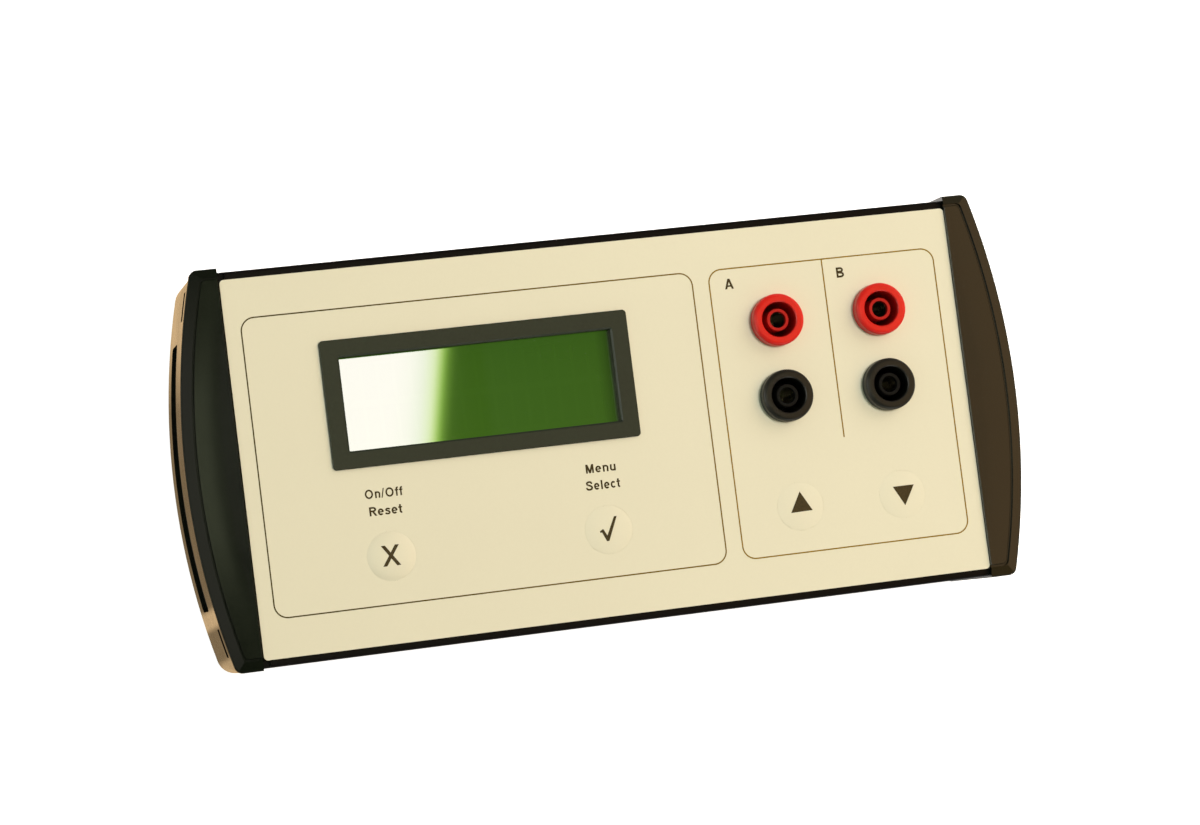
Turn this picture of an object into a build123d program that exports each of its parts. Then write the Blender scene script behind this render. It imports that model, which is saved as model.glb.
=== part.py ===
from build123d import *
import os
from math import atan2, cos, degrees, pi, radians, sin, sqrt

# Bench-top counter and timer box: two extruded half shells, two moulded end
# caps, a printed panel film with four embossed keys, a recessed display and
# two pairs of 4 mm safety sockets.
# Millimetres. X along the length, Y from the operator's edge to the rear edge,
# Z up out of the panel. The origin is on the surface the feet stand on, under
# the middle of the box.

os.makedirs("parts", exist_ok=True)

# ---------------------------------------------------------------- dimensions
Z_FILM = 35.0           # top face of the panel film
FILM_T = 0.6            # panel film and switch-sheet laminate
FILM = (-92.16, 92.42, -46.10, 45.85)     # edges of the film

SHELL_X = 92.5          # half length of the extrusions
SHELL_F, SHELL_B = -48.0, 47.8            # front and rear faces of the extrusions
RAIL_END = 1.8          # the rails beside the film stop short of the end caps
Z_BASE = 3.3            # underside of the bottom shell
Z_SPLIT = 19.0          # joint between the two half shells
WALL = 2.2              # extrusion wall
PORT_Y = 42.0           # screw ports of the extrusions
PORT_Z_TOP = 28.4
PORT_Z_BOT = 9.1
PORT_R = 3.2
PORT_HOLE_R = 1.30

CAP_X = 105.6           # half length over the bowed end caps
CAP_R = 182.0           # plan radius of the bowed side
CAP_F, CAP_B = -48.5, 48.85               # front and rear faces of the end caps
CAP_Z0 = 2.5            # underside of the end caps
CAP_Z1 = 35.8           # top tile of the end caps
CAP_CORNER = 2.2
CAP_LOW_CORNER = 4.6    # the wall below the rim is rounded more
CAP_WALL = 2.3
BAND_ARC = 2.6          # width of the sloping rim along the bowed side
BAND_F, BAND_B = 2.6, 2.1                 # width of the rim at the front and at the rear
BAND_DROP = 0.75
GROOVE_W = 0.5
GROOVE_D = 0.5
CROWN = 0.32            # fall of the crowned tile towards the bowed side
CROWN_W = 6.5
SLOT_Y = 32.7           # side slot of the end caps
SLOT_Z0, SLOT_Z1 = 10.5, 23.0

BEZEL = (-70.2, 6.67, -2.91, 28.65)       # outer edge: x0, x1, y0, y1
WINDOW = (-65.7, 2.25, 1.36, 24.2)        # display window
BEZEL_TOP = 35.8
GLASS_TOP = 32.7
GLASS_T = 2.6
FRAME_TOP = 30.2

KEYS = {"reset": (-58.6, -24.9), "select": (-4.3, -24.9),
        "up": (45.1, -24.9), "down": (71.9, -24.9)}
KEY_R = 6.00            # embossed dome
KEY_HOLE_R = 6.05
KEY_RISE = 0.22         # crown of the dome above the film
KEY_TRAVEL = 0.35
PLUNGER_R = 1.70

SOCKET_X = {"a": 44.86, "b": 71.71}
SOCKET_Y = {"red": 21.92, "black": 2.87}  # 19.05 mm apart, for double plugs
FLANGE_R = 6.52
FLANGE_H = 3.4
SHROUD_R = 4.4          # annular recess for the plug's sleeve
TUBE_R = 2.85           # insulated inner tube
TUBE_TOP = 37.0
BORE_R = 2.05           # contact bore for a 4 mm plug
SOCKET_BODY_R = 5.95
PANEL_HOLE_R = 6.1

PCB_Z = 20.0            # underside of the main board
PCB_T = 1.6
FOOT_R = 5.0

BAT = (10.25, 36.75, -36.4, 12.1)         # 9 V block, lying on its side
BAT_Z0 = 5.55
BAT_H = 17.5
BOX = (8.2, 38.8, -38.5, 19.5)            # outer wall of the battery box
BOX_TOP = 24.2
LID_TRAVEL = 10.0


# ------------------------------------------------------------------- helpers
def block(x0, x1, y0, y1, z0, z1):
    return Pos((x0 + x1) / 2, (y0 + y1) / 2, (z0 + z1) / 2) * Box(x1 - x0, y1 - y0, z1 - z0)


def rod(x, y, r, z0, z1):
    return Pos(x, y, (z0 + z1) / 2) * Cylinder(r, z1 - z0)


def rod_x(x0, x1, y, z, r):
    return Pos((x0 + x1) / 2, y, z) * Rot(0, 90, 0) * Cylinder(r, x1 - x0)


def rod_y(x, z, r, y0, y1):
    return Pos(x, (y0 + y1) / 2, z) * Rot(90, 0, 0) * Cylinder(r, y1 - y0)


def plate(x0, x1, y0, y1, z0, z1, r):
    face = Pos((x0 + x1) / 2, (y0 + y1) / 2, z0) * RectangleRounded(x1 - x0, y1 - y0, r)
    return extrude(face, amount=z1 - z0)


def plate_yz(x0, x1, y0, y1, z0, z1, r):
    """Plate with rounded corners, standing across X."""
    p = plate(-(z1 - z0) / 2, (z1 - z0) / 2, -(y1 - y0) / 2, (y1 - y0) / 2, 0, x1 - x0, r)
    return Pos(x0, (y0 + y1) / 2, (z0 + z1) / 2) * Rot(0, 90, 0) * p


def hexagon(x, y, flats, z0, z1):
    face = Pos(x, y, z0) * RegularPolygon(flats / 2, 6, major_radius=False)
    return extrude(face, amount=z1 - z0)


def prism_x(points_yz, x0, x1):
    """Polygon given in Y, Z and extruded along X."""
    wire = Polyline(*[(x0, y, z) for y, z in points_yz], close=True)
    return extrude(make_face(wire), amount=x1 - x0, dir=(1, 0, 0))


def ring_x(points_rz, cx):
    """Solid of revolution about the vertical axis through x = cx, y = 0."""
    wire = Polyline(*[(cx + r, 0, z) for r, z in points_rz], close=True)
    return revolve(make_face(wire), axis=Axis((cx, 0, 0), (0, 0, 1)), revolution_arc=360)


def solids(shape):
    return list(shape.solids())


def save(name, *shapes):
    parts = [s for shape in shapes for s in solids(shape)]
    out = parts[0] if len(parts) == 1 else Compound(children=parts)
    export_step(out, "parts/" + name + ".step")


def mirrored(shape):
    return mirror(shape, about=Plane.YZ)


# -------------------------------------------------------------- half shells
def shell_profile_cut(z0, z1):
    return block(-SHELL_X - 1, SHELL_X + 1, SHELL_F + WALL, SHELL_B - WALL, z0, z1)


def shell_side(sy, inset):
    return SHELL_F + inset if sy < 0 else SHELL_B - inset


TOP_IN = Z_FILM - FILM_T - WALL            # inner face of the top wall
top = block(-SHELL_X, SHELL_X, SHELL_F, SHELL_B, Z_SPLIT, Z_FILM)
long_edges = top.edges().filter_by(Axis.X)
top = fillet(long_edges.group_by(Axis.Z)[-1], 0.7)
top = chamfer(top.edges().filter_by(Axis.X).group_by(Axis.Z)[0], 0.45)
top -= block(-SHELL_X - 1, SHELL_X + 1, FILM[2] - 0.08, FILM[3] + 0.08, Z_FILM - FILM_T, Z_FILM + 1)
for sx in (-1, 1):
    e0, e1 = sorted((sx * (SHELL_X - RAIL_END), sx * (SHELL_X + 1)))
    for (y0, y1) in ((SHELL_F + 0.35, FILM[2]), (FILM[3], SHELL_B - 0.35)):
        top -= block(e0, e1, y0, y1, 33.7, Z_FILM + 1)
# relief beside the film's left edge, next to the end cap
top -= block(-SHELL_X - 1, -SHELL_X + 0.45, FILM[2], FILM[3], 33.3, Z_FILM + 1)
top -= shell_profile_cut(Z_SPLIT - 1, TOP_IN)
for sy in (-1, 1):
    y0, y1 = sorted((sy * (PORT_Y - 1.4), shell_side(sy, 1.0)))
    web = block(-SHELL_X, SHELL_X, y0, y1, PORT_Z_TOP - 1.2, TOP_IN + 0.5)
    port = rod_x(-SHELL_X, SHELL_X, sy * PORT_Y, PORT_Z_TOP, PORT_R)
    top += web + port
    top -= rod_x(-SHELL_X - 1, SHELL_X + 1, sy * PORT_Y, PORT_Z_TOP, PORT_HOLE_R)
    # groove that takes the bottom shell's tongue
    g0, g1 = sorted((sy * 45.95, sy * 46.85))
    top -= block(-SHELL_X - 1, SHELL_X + 1, g0, g1, Z_SPLIT - 1, Z_SPLIT + 1.5)
# two stiffening ribs on the top wall's inner face, along the extrusion
top -= plate(-68.05, 4.35, -0.99, 26.85, TOP_IN - 1, Z_FILM, 0.8)
for (kx, ky) in KEYS.values():
    top -= rod(kx, ky, 6.6, Z_FILM - FILM_T - 0.9, Z_FILM)
    top -= rod(kx, ky, 2.3, TOP_IN - 1, Z_FILM)
for sx in SOCKET_X.values():
    for sy in SOCKET_Y.values():
        top -= rod(sx, sy, PANEL_HOLE_R, TOP_IN - 1, Z_FILM)
save("top_shell", top)

BOARD_POSTS = [(-70, -34.5), (-70, 18), (2.5, -34.5), (2.5, 18), (58, 31), (80, -28), (84, -12)]
BOX_POSTS = [(3.4, -24.0), (43.6, -12.0)]
FEET = [(-82, -38), (82, -38), (-82, 38), (82, 38)]

bottom = block(-SHELL_X, SHELL_X, SHELL_F, SHELL_B, Z_BASE, Z_SPLIT)
bottom = fillet(bottom.edges().filter_by(Axis.X).group_by(Axis.Z)[0], 1.6)
bottom = chamfer(bottom.edges().filter_by(Axis.X).group_by(Axis.Z)[-1], 0.45)
bottom -= shell_profile_cut(Z_BASE + WALL, Z_SPLIT + 1)
FLOOR = Z_BASE + WALL
for sy in (-1, 1):
    y0, y1 = sorted((sy * (PORT_Y - 1.4), shell_side(sy, 1.0)))
    bottom += block(-SHELL_X, SHELL_X, y0, y1, FLOOR - 0.5, PORT_Z_BOT + 1.2)
    bottom += rod_x(-SHELL_X, SHELL_X, sy * PORT_Y, PORT_Z_BOT, PORT_R)
    bottom -= rod_x(-SHELL_X - 1, SHELL_X + 1, sy * PORT_Y, PORT_Z_BOT, PORT_HOLE_R)
    g0, g1 = sorted((sy * 46.0, sy * 46.8))
    bottom += block(-SHELL_X, SHELL_X, g0, g1, Z_SPLIT - 1, Z_SPLIT + 1.3)
# battery opening with a ledge on both long sides; the ledge is notched where
# the lid's lips pass when the lid has been slid back by its full travel
bottom -= block(9.8, 37.2, -36.9, 17.9, Z_BASE - 1, FLOOR + 1)
bottom -= block(8.7, 38.3, -36.9, 17.9, Z_BASE + 0.9, FLOOR + 1)
LIPS = [(-36.0, -26.0), (-3.0, 7.0)]
for (a, b) in LIPS:
    bottom -= block(8.7, 38.3, a + LID_TRAVEL - 0.2, b + LID_TRAVEL + 0.2, Z_BASE - 1, FLOOR + 1)
for (x, y) in BOARD_POSTS + BOX_POSTS:
    bottom -= rod(x, y, 1.6, Z_BASE - 1, FLOOR + 1)
    bottom -= Pos(x, y, Z_BASE + 0.75) * Cone(3.1, 1.6, 1.5)
    bottom -= rod(x, y, 3.1, Z_BASE - 1, Z_BASE + 0.001)
for (x, y) in FEET:
    bottom -= rod(x, y, FOOT_R + 0.1, Z_BASE - 1, Z_BASE + 0.4)
save("bottom_shell", bottom)

# ------------------------------------------------------------- end plates
HOOK_Y = 22.0
HOOK_Z_TOP = 30.9       # middle of the upper hook arms
HOOK_Z_BOT = 6.9        # middle of the lower hook arms
ep = plate_yz(SHELL_X, SHELL_X + 2.0, -45.9, 45.9, 5.0, 33.0, 1.8)
for sy in (-1, 1):
    for z in (PORT_Z_TOP, PORT_Z_BOT):
        ep -= rod_x(SHELL_X - 1, SHELL_X + 3, sy * PORT_Y, z, 1.65)
    for z in (HOOK_Z_TOP, HOOK_Z_BOT):
        ep -= block(SHELL_X - 1, SHELL_X + 3, sy * HOOK_Y - 4.4, sy * HOOK_Y + 4.4, z - 1.25, z + 1.25)
save("right_end_plate", ep)
save("left_end_plate", mirrored(ep))

end_screws = []
for sy in (-1, 1):
    for z in (PORT_Z_TOP, PORT_Z_BOT):
        s = rod_x(SHELL_X - 10, SHELL_X + 2.0, sy * PORT_Y, z, 1.28)
        head = rod_x(SHELL_X + 2.0, SHELL_X + 3.9, sy * PORT_Y, z, 2.8)
        head = fillet(head.edges().group_by(Axis.X)[-1], 0.8)
        s += head
        s -= block(SHELL_X + 3.0, SHELL_X + 5, sy * PORT_Y - 0.35, sy * PORT_Y + 0.35, z - 1.6, z + 1.6)
        s -= block(SHELL_X + 3.0, SHELL_X + 5, sy * PORT_Y - 1.6, sy * PORT_Y + 1.6, z - 0.35, z + 0.35)
        end_screws += [s, mirrored(s)]
save("end_plate_screws", *end_screws)

# --------------------------------------------------------------- end caps
CX = CAP_X - CAP_R      # centre of the bowed side


def cap_outline(inset_arc, front, rear, corner, x0=SHELL_X):
    y0, y1 = CAP_F + front, CAP_B - rear
    sk = (Pos((x0 + 120) / 2, (y0 + y1) / 2) * Rectangle(120 - x0, y1 - y0)) & \
         (Pos(CX, 0) * Circle(CAP_R - inset_arc))
    far = sk.vertices().sort_by(Axis.X)[-2:]
    return fillet(far, corner)


cap = extrude(Pos(0, 0, CAP_Z0) * cap_outline(0, 0, 0, CAP_CORNER), amount=CAP_Z1 - CAP_Z0)
crescents = cap_outline(-0.01, -0.01, -0.01, CAP_CORNER - 0.6) - cap_outline(0, 0, 0, CAP_LOW_CORNER)
for corner in extrude(Pos(0, 0, CAP_Z0 - 1) * crescents, amount=33.6 - (CAP_Z0 - 1)).solids():
    if corner.center().X > CAP_X - 12 and corner.volume > 5:
        cap -= corner
over = 1.5
cap -= ring_x([(CAP_R - BAND_ARC, CAP_Z1), (CAP_R - BAND_ARC, CAP_Z1 + 1),
               (CAP_R + over, CAP_Z1 + 1),
               (CAP_R + over, CAP_Z1 - BAND_DROP * (BAND_ARC + over) / BAND_ARC)], CX)
for (sy, face, band) in ((-1, CAP_F, BAND_F), (1, CAP_B, BAND_B)):
    cap -= prism_x([(face - sy * band, CAP_Z1), (face - sy * band, CAP_Z1 + 1),
                    (face + sy * over, CAP_Z1 + 1),
                    (face + sy * over, CAP_Z1 - BAND_DROP * (band + over) / band)],
                   SHELL_X - 1, 120)
# tile crowned so that it falls gently towards the bowed side
tile_r = CAP_R - BAND_ARC - GROOVE_W
side = ThreePointArc((CX + tile_r + 0.3, 0, CAP_Z1 - CROWN * 1.1), (CX + tile_r - CROWN_W / 2, 0, CAP_Z1 - CROWN * 0.24),
                     (CX + tile_r - CROWN_W, 0, CAP_Z1))
rest = Polyline((CX + tile_r - CROWN_W, 0, CAP_Z1), (CX + tile_r - CROWN_W, 0, CAP_Z1 + 1),
                (CX + tile_r + 0.3, 0, CAP_Z1 + 1), (CX + tile_r + 0.3, 0, CAP_Z1 - CROWN * 1.1))
crown = revolve(make_face(side + rest), axis=Axis((CX, 0, 0), (0, 0, 1)), revolution_arc=360)
tile_zone = extrude(Pos(0, 0, CAP_Z1 - 1) * cap_outline(BAND_ARC + 0.2, BAND_F + 0.2, BAND_B + 0.2, 1.4, SHELL_X - 1),
                    amount=2)
cap -= crown & tile_zone
groove = cap_outline(BAND_ARC, BAND_F, BAND_B, 1.6, SHELL_X - 1) - \
    cap_outline(BAND_ARC + GROOVE_W, BAND_F + GROOVE_W, BAND_B + GROOVE_W, 1.2, SHELL_X - 1)
cap -= extrude(Pos(0, 0, CAP_Z1 - GROOVE_D - 0.1) * groove, amount=2)
# hollow inside, open towards the extrusion
cap -= extrude(Pos(0, 0, CAP_Z0 + CAP_WALL) * cap_outline(CAP_WALL, CAP_WALL, CAP_WALL, 1.4, SHELL_X - 1),
               amount=(CAP_Z1 - 2.4) - (CAP_Z0 + CAP_WALL))
# long side slot and two small slits above it
cap -= plate_yz(98, 112, -SLOT_Y, SLOT_Y, SLOT_Z0, SLOT_Z1, 1.2)
for sy in (-1, 1):
    y0, y1 = sorted((sy * 37.3, sy * 44.3))
    cap -= block(98, 112, y0, y1, 28.3, 31.9)


def soften(shape, edges, r):
    """Round the given edges one group after another where the corner allows it."""
    for k in (1.0, 0.8, 0.65):
        try:
            return fillet(edges, r * k)
        except Exception:
            pass
    print("edge round left out:", r)
    return shape


def z_of(e):
    return e.center().Z


# rounded lower rim
low = [e for e in cap.edges() if abs(z_of(e) - CAP_Z0) < 1e-3 and abs(e.bounding_box().size.Z) < 1e-3
       and e.center().X > SHELL_X + 0.05]
cap = soften(cap, low, 0.9)
# rounded shoulder between the sloping rim and the side
rim_z = CAP_Z1 - BAND_DROP
up = [e for e in cap.edges() if rim_z - 0.6 < z_of(e) < rim_z + 0.02
      and (Vector(e.center().X - CX, e.center().Y, 0).length > CAP_R - 0.3
           or e.center().Y < CAP_F + 0.3 or e.center().Y > CAP_B - 0.3)
      and e.bounding_box().size.Z < 0.9 and e.length > 0.5]
cap = soften(cap, up, 0.6)
# rounded inner top edge, next to the panel film
inner = [e for e in cap.edges().filter_by(Axis.Y) if abs(z_of(e) - CAP_Z1) < 1e-3
         and abs(e.center().X - SHELL_X) < 1e-3]
cap = soften(cap, inner, 0.2)
# softened edge of the tile along the groove
tile_edge = [e for e in cap.edges() if CAP_Z1 - CROWN - 0.15 < z_of(e) < CAP_Z1 + 0.01
             and e.center().X > SHELL_X + 0.6 and e.bounding_box().size.Z < 0.5
             and CAP_F + BAND_F + GROOVE_W - 0.02 < e.center().Y < CAP_B - BAND_B - GROOVE_W + 0.02
             and Vector(e.center().X - CX, e.center().Y, 0).length < tile_r + 0.02]
cap = soften(cap, tile_edge, 0.22)
# four snap hooks that pass through the end plate and latch behind it
for sy in (-1, 1):
    for (z, root) in ((HOOK_Z_TOP, CAP_Z1 - 1.2), (HOOK_Z_BOT, CAP_Z0 + 1.2)):
        y0, y1 = sy * HOOK_Y - 3.9, sy * HOOK_Y + 3.9
        za, zb = sorted((z, root))
        cap += block(SHELL_X + 2.3, SHELL_X + 5.5, y0, y1, za, zb)
        cap += block(SHELL_X - 3.6, SHELL_X + 5.5, y0, y1, z - 0.8, z + 0.8)
        d = -1 if z > 20 else 1
        pts = [(SHELL_X - 3.6, z + d * 0.6), (SHELL_X - 0.1, z + d * 0.6),
               (SHELL_X - 0.1, z + d * 1.7), (SHELL_X - 0.7, z + d * 1.7), (SHELL_X - 3.6, z + d * 0.9)]
        wire = Polyline(*[(x, y0, zz) for x, zz in pts], close=True)
        cap += extrude(make_face(wire), amount=y1 - y0, dir=(0, 1, 0))
save("right_end_cap", cap)
save("left_end_cap", mirrored(cap))

# strip that closes the side slot from inside
strip = ring_x([(CAP_R - CAP_WALL - 1.2, SLOT_Z0 - 1.8), (CAP_R - CAP_WALL, SLOT_Z0 - 1.8),
                (CAP_R - CAP_WALL, SLOT_Z0 + 0.1), (CAP_R - 1.2, SLOT_Z0 + 0.1),
                (CAP_R - 1.2, SLOT_Z1 - 0.1), (CAP_R - CAP_WALL, SLOT_Z1 - 0.1),
                (CAP_R - CAP_WALL, SLOT_Z1 + 1.8), (CAP_R - CAP_WALL - 1.2, SLOT_Z1 + 1.8)], CX)
keep_strip = (block(90, 110, -SLOT_Y + 1.3, SLOT_Y - 1.3, 0, 40) +
              block(90, 110, -SLOT_Y + 0.1, SLOT_Y - 0.1, SLOT_Z0 + 1.3, SLOT_Z1 - 1.3))
flange_only = ring_x([(CAP_R - CAP_WALL - 1.2, SLOT_Z0 - 1.8), (CAP_R - CAP_WALL, SLOT_Z0 - 1.8),
                      (CAP_R - CAP_WALL, SLOT_Z1 + 1.8), (CAP_R - CAP_WALL - 1.2, SLOT_Z1 + 1.8)], CX)
strip = (strip & keep_strip) + (flange_only & block(90, 110, -SLOT_Y - 1.6, SLOT_Y + 1.6, 0, 40))
save("right_side_insert", strip)
save("left_side_insert", mirrored(strip))

# -------------------------------------------------------------- panel film
film = plate(FILM[0], FILM[1], FILM[2], FILM[3], Z_FILM - FILM_T, Z_FILM, 1.0)
film -= plate(-68.05, 4.35, -0.99, 26.85, Z_FILM - 2, Z_FILM + 1, 0.8)
for (kx, ky) in KEYS.values():
    film -= rod(kx, ky, KEY_HOLE_R, Z_FILM - 2, Z_FILM + 1)
for sx in SOCKET_X.values():
    for sy in SOCKET_Y.values():
        film -= rod(sx, sy, PANEL_HOLE_R, Z_FILM - 2, Z_FILM + 1)
save("membrane_overlay", film)

# embossed key domes, each with its switch plunger under it
for name, (kx, ky) in KEYS.items():
    under = Z_FILM - FILM_T + 0.05
    side = Line((0, 0, under), (KEY_R, 0, under)) + Line((KEY_R, 0, under), (KEY_R, 0, Z_FILM))
    crown = Spline((KEY_R, 0, Z_FILM), (KEY_R - 1.4, 0, Z_FILM + 0.12), (KEY_R - 2.9, 0, Z_FILM + 0.18),
                   (0, 0, Z_FILM + KEY_RISE), tangents=[(-1, 0, 0.11), (-1, 0, 0)])
    axis_line = Line((0, 0, Z_FILM + KEY_RISE), (0, 0, under))
    dome = revolve(make_face(side + crown + axis_line), axis=Axis.Z, revolution_arc=360)
    save("key_dome_" + name, Pos(kx, ky, 0) * dome)
    pin = rod(0, 0, PLUNGER_R, 23.2, under)
    pin = chamfer(pin.edges().group_by(Axis.Z)[-1], 0.25)
    pin += rod(0, 0, 2.3, 23.2, 24.0)
    save("key_plunger_" + name, Pos(kx, ky, 0) * pin)

housings = []
for (kx, ky) in KEYS.values():
    h = block(kx - 3.1, kx + 3.1, ky - 3.1, ky + 3.1, PCB_Z + PCB_T, 25.3)
    h = chamfer(h.edges().filter_by(Axis.Z), 0.4)
    h -= rod(kx, ky, 2.45, 22.6, 24.4)
    h -= rod(kx, ky, PLUNGER_R + 0.08, 22.6, 26)
    housings.append(h)
save("switch_housings", *housings)

# ------------------------------------------------------------------ display
bz = plate(BEZEL[0], BEZEL[1], BEZEL[2], BEZEL[3], Z_FILM, BEZEL_TOP, 1.0)
bz = fillet(bz.edges().group_by(Axis.Z)[-1], 0.22)
bz += plate(-67.7, 4.0, -0.64, 26.5, FRAME_TOP + 0.1, Z_FILM + 0.2, 0.6)
# catches that snap under the panel wall
for x in (-50.0, -14.0):
    bz += prism_x([(26.4, TOP_IN - 0.1), (27.2, TOP_IN - 0.1), (26.4, TOP_IN - 1.5)], x - 3, x + 3)
    bz += prism_x([(-0.54, TOP_IN - 0.1), (-1.34, TOP_IN - 0.1), (-0.54, TOP_IN - 1.5)], x - 3, x + 3)
bz -= plate(WINDOW[0], WINDOW[1], WINDOW[2], WINDOW[3], GLASS_TOP - 1, BEZEL_TOP + 1, 0.25)
GL = (-66.9, 3.2, 0.1, 25.8)
bz -= block(GL[0] - 0.1, GL[1] + 0.1, GL[2] - 0.1, GL[3] + 0.1, FRAME_TOP - 1, GLASS_TOP)
inner_top = [e for e in bz.edges() if abs(z_of(e) - BEZEL_TOP) < 1e-3
             and WINDOW[0] - 0.1 < e.center().X < WINDOW[1] + 0.1 and WINDOW[2] - 0.1 < e.center().Y < WINDOW[3] + 0.1]
bz = chamfer(inner_top, 0.42)
save("lcd_bezel", bz)

save("lcd_glass", block(GL[0], GL[1], GL[2], GL[3], GLASS_TOP - GLASS_T, GLASS_TOP))
save("lcd_backlight", block(GL[0], GL[1], GL[2], GL[3], 26.0, GLASS_TOP - GLASS_T))
fr = block(-68.6, 4.9, -1.6, 27.4, 26.0, FRAME_TOP) - block(GL[0], GL[1], GL[2], GL[3], 25, 31)
fr = fillet(fr.edges().filter_by(Axis.Z).filter_by(lambda e: e.center().X < -68 or e.center().X > 4.5), 0.6)
save("lcd_frame", fr)

LCD_POSTS = [(-69.9, -4.3), (6.2, -4.3), (-69.9, 30.2), (6.2, 30.2)]
lp = plate(-72.8, 9.1, -7.2, 33.1, 24.4, 26.0, 0.8)
for (x, y) in LCD_POSTS:
    lp -= rod(x, y, 1.3, 24, 27)
save("lcd_board", lp)
st, sc = [], []
for (x, y) in LCD_POSTS:
    st.append(hexagon(x, y, 4.4, 26.0, TOP_IN) - rod(x, y, 1.02, 25.9, 31.2))
    s = rod(x, y, 1.0, 24.4, 30.0) + fillet(rod(x, y, 1.9, 23.0, 24.4).edges().group_by(Axis.Z)[0], 0.5)
    s -= block(x - 1.3, x + 1.3, y - 0.25, y + 0.25, 22.9, 23.6)
    sc.append(s)
save("lcd_standoffs", *st)
save("lcd_screws", *sc)
save("lcd_header", block(-52.0, -18.0, 29.6, 32.1, PCB_Z + PCB_T, 24.4))

# --------------------------------------------------------------- main board
pcb = block(-74, 7.0, -38.0, 34, PCB_Z, PCB_Z + PCB_T)
pcb += block(6.0, 65, 28.6, 34, PCB_Z, PCB_Z + PCB_T)
pcb += block(51.5, 65, -9, 30, PCB_Z, PCB_Z + PCB_T)
pcb += block(40.6, 88, -38.0, -8, PCB_Z, PCB_Z + PCB_T)
for (x, y) in BOARD_POSTS:
    pcb -= rod(x, y, 1.65, PCB_Z - 1, PCB_Z + 3)
save("main_board", pcb)

posts, top_screws, base_screws = [], [], []
for (x, y) in BOARD_POSTS:
    posts.append(hexagon(x, y, 5.5, FLOOR, PCB_Z) - rod(x, y, 1.27, FLOOR - 1, PCB_Z + 1))
    s = rod(x, y, 1.25, PCB_Z + PCB_T - 7.0, PCB_Z + PCB_T)
    head = rod(x, y, 2.7, PCB_Z + PCB_T, PCB_Z + PCB_T + 1.8)
    head = fillet(head.edges().group_by(Axis.Z)[-1], 0.8)
    s += head
    s -= block(x - 1.6, x + 1.6, y - 0.35, y + 0.35, PCB_Z + PCB_T + 0.9, PCB_Z + PCB_T + 3)
    s -= block(x - 0.35, x + 0.35, y - 1.6, y + 1.6, PCB_Z + PCB_T + 0.9, PCB_Z + PCB_T + 3)
    top_screws.append(s)
for (x, y) in BOARD_POSTS + BOX_POSTS:
    s = rod(x, y, 1.25, Z_BASE + 1.0, FLOOR + 5.0)
    s += Pos(x, y, Z_BASE + 0.83) * Cone(2.9, 1.5, 1.46)
    s -= block(x - 1.6, x + 1.6, y - 0.35, y + 0.35, Z_BASE - 1, Z_BASE + 0.8)
    s -= block(x - 0.35, x + 0.35, y - 1.6, y + 1.6, Z_BASE - 1, Z_BASE + 0.8)
    base_screws.append(s)
save("board_standoffs", *posts)
save("board_screws", *top_screws)
save("base_screws", *base_screws)

TOPZ = PCB_Z + PCB_T
save("microcontroller", chamfer(block(-38, -24, -2, 12, TOPZ, TOPZ + 1.6).edges().group_by(Axis.Z)[-1], 0.3))
xt = extrude(Pos(-34, -16, TOPZ) * SlotOverall(11.0, 4.6), amount=3.6)
save("crystal", fillet(xt.edges().group_by(Axis.Z)[-1], 0.5))
caps = []
for x in (-24.0, -16.5):
    c = rod(x, -31, 3.1, TOPZ, TOPZ + 8.0)
    caps.append(fillet(c.edges().group_by(Axis.Z)[-1], 0.5))
save("capacitors", *caps)

# ------------------------------------------------------------------ sockets
F1 = Z_FILM + FLANGE_H


def socket_housing(x, y):
    fl = rod(0, 0, FLANGE_R, Z_FILM, F1)
    fl = fillet(fl.edges().group_by(Axis.Z)[-1], 1.0)
    body = fl + rod(0, 0, SOCKET_BODY_R, 24.6, Z_FILM + 0.5) + rod(0, 0, 4.8, 13.5, 25.0)
    body -= rod(0, 0, SHROUD_R, 20.0, F1 + 1)
    body = chamfer([e for e in body.edges() if abs(z_of(e) - F1) < 1e-3
                    and e.length < 2 * pi * SHROUD_R + 0.5], 0.25)
    tube = rod(0, 0, TUBE_R, 19.5, TUBE_TOP)
    tube = fillet(tube.edges().group_by(Axis.Z)[-1], 0.25)
    body += tube
    body -= rod(0, 0, 2.33, 13.0, TUBE_TOP - 1.45)
    body -= rod(0, 0, BORE_R, 34.0, F1 + 1)
    return Pos(x, y, 0) * body


contacts, nuts, leads = [], [], []
for ch, sx in SOCKET_X.items():
    for col, sy in SOCKET_Y.items():
        save("socket_" + ch + "_" + col, socket_housing(sx, sy))
        c = rod(0, 0, 2.3, 12.5, TUBE_TOP - 1.45) - rod(0, 0, BORE_R, 17.7, 37)
        c += rod(0, 0, 1.3, 9.5, 12.6)
        contacts.append(Pos(sx, sy, 0) * c)
        nuts.append(hexagon(sx, sy, 14.0, TOP_IN - 3.0, TOP_IN) - rod(sx, sy, SOCKET_BODY_R + 0.03, 20, 33))
        # lead from the contact's tail to the underside of the main board
        tx = 55.5 if ch == "a" else 61.0
        d = 1 if tx > sx else -1
        path = FilletPolyline((sx + d * 1.35, sy, 11.0), (tx, sy, 11.0), (tx, sy, PCB_Z), radius=2.4)
        prof = Plane(origin=path @ 0, z_dir=path % 0) * Circle(0.7)
        leads.append(sweep(prof, path=path))
save("socket_contacts", *contacts)
save("socket_nuts", *nuts)
save("socket_leads", *leads)

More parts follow.
